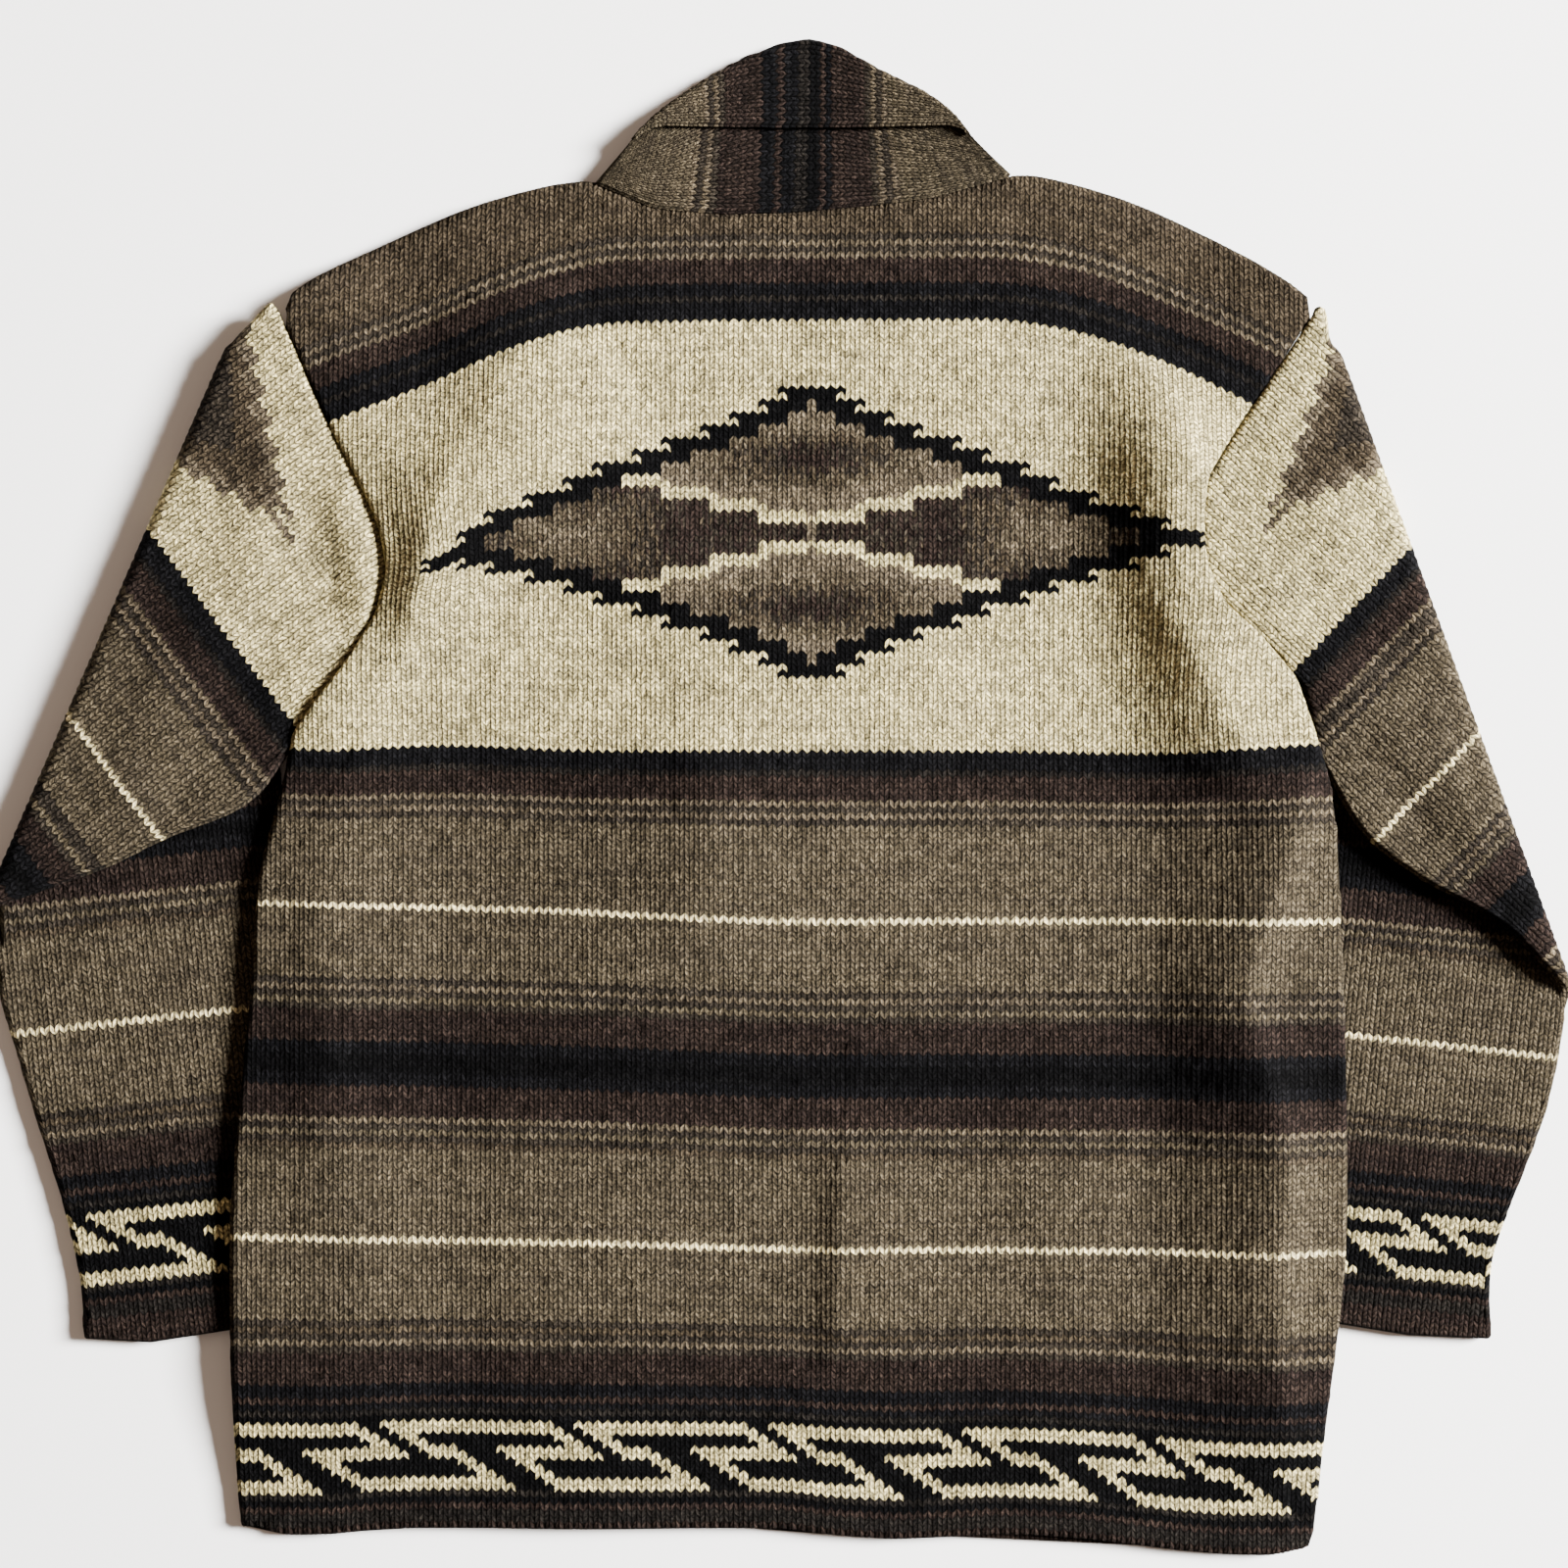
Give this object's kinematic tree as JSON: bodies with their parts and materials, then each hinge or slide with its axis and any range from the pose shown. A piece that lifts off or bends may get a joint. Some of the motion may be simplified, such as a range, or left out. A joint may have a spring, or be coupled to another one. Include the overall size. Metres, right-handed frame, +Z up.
{
  "type": "cardigan",
  "caption": "Knitted wool shawl-collar cardigan laid flat on its front, back upwards, sleeves folded under along their outer sides.",
  "frame": {"origin": "on the surface it lies on, under the middle of its bounding box", "axes": "+X to the right and +Y towards the collar as seen from above its back, +Z up"},
  "size_m": [0.8682, 0.8362, 0.024],
  "materials": {
    "back_knit": "chunky marled wool stocking stitch, olive, brown, navy and cream",
    "front_knit": "chunky marled wool stocking stitch, striped as the back",
    "sleeve_knit": "chunky marled wool stocking stitch, striped as the back",
    "collar_knit": "chunky marled wool knitted sideways, striped",
    "band_knit": "chunky marled wool knitted sideways, striped"
  },
  "bodies": {
    "root": {"back": "back_knit", "front_left": "front_knit", "front_right": "front_knit", "sleeve_left": "sleeve_knit", "sleeve_right": "sleeve_knit", "collar": "collar_knit", "lapel_left": "collar_knit", "lapel_right": "collar_knit", "band_left": "band_knit", "band_right": "band_knit"}
  },
  "joints": []
}
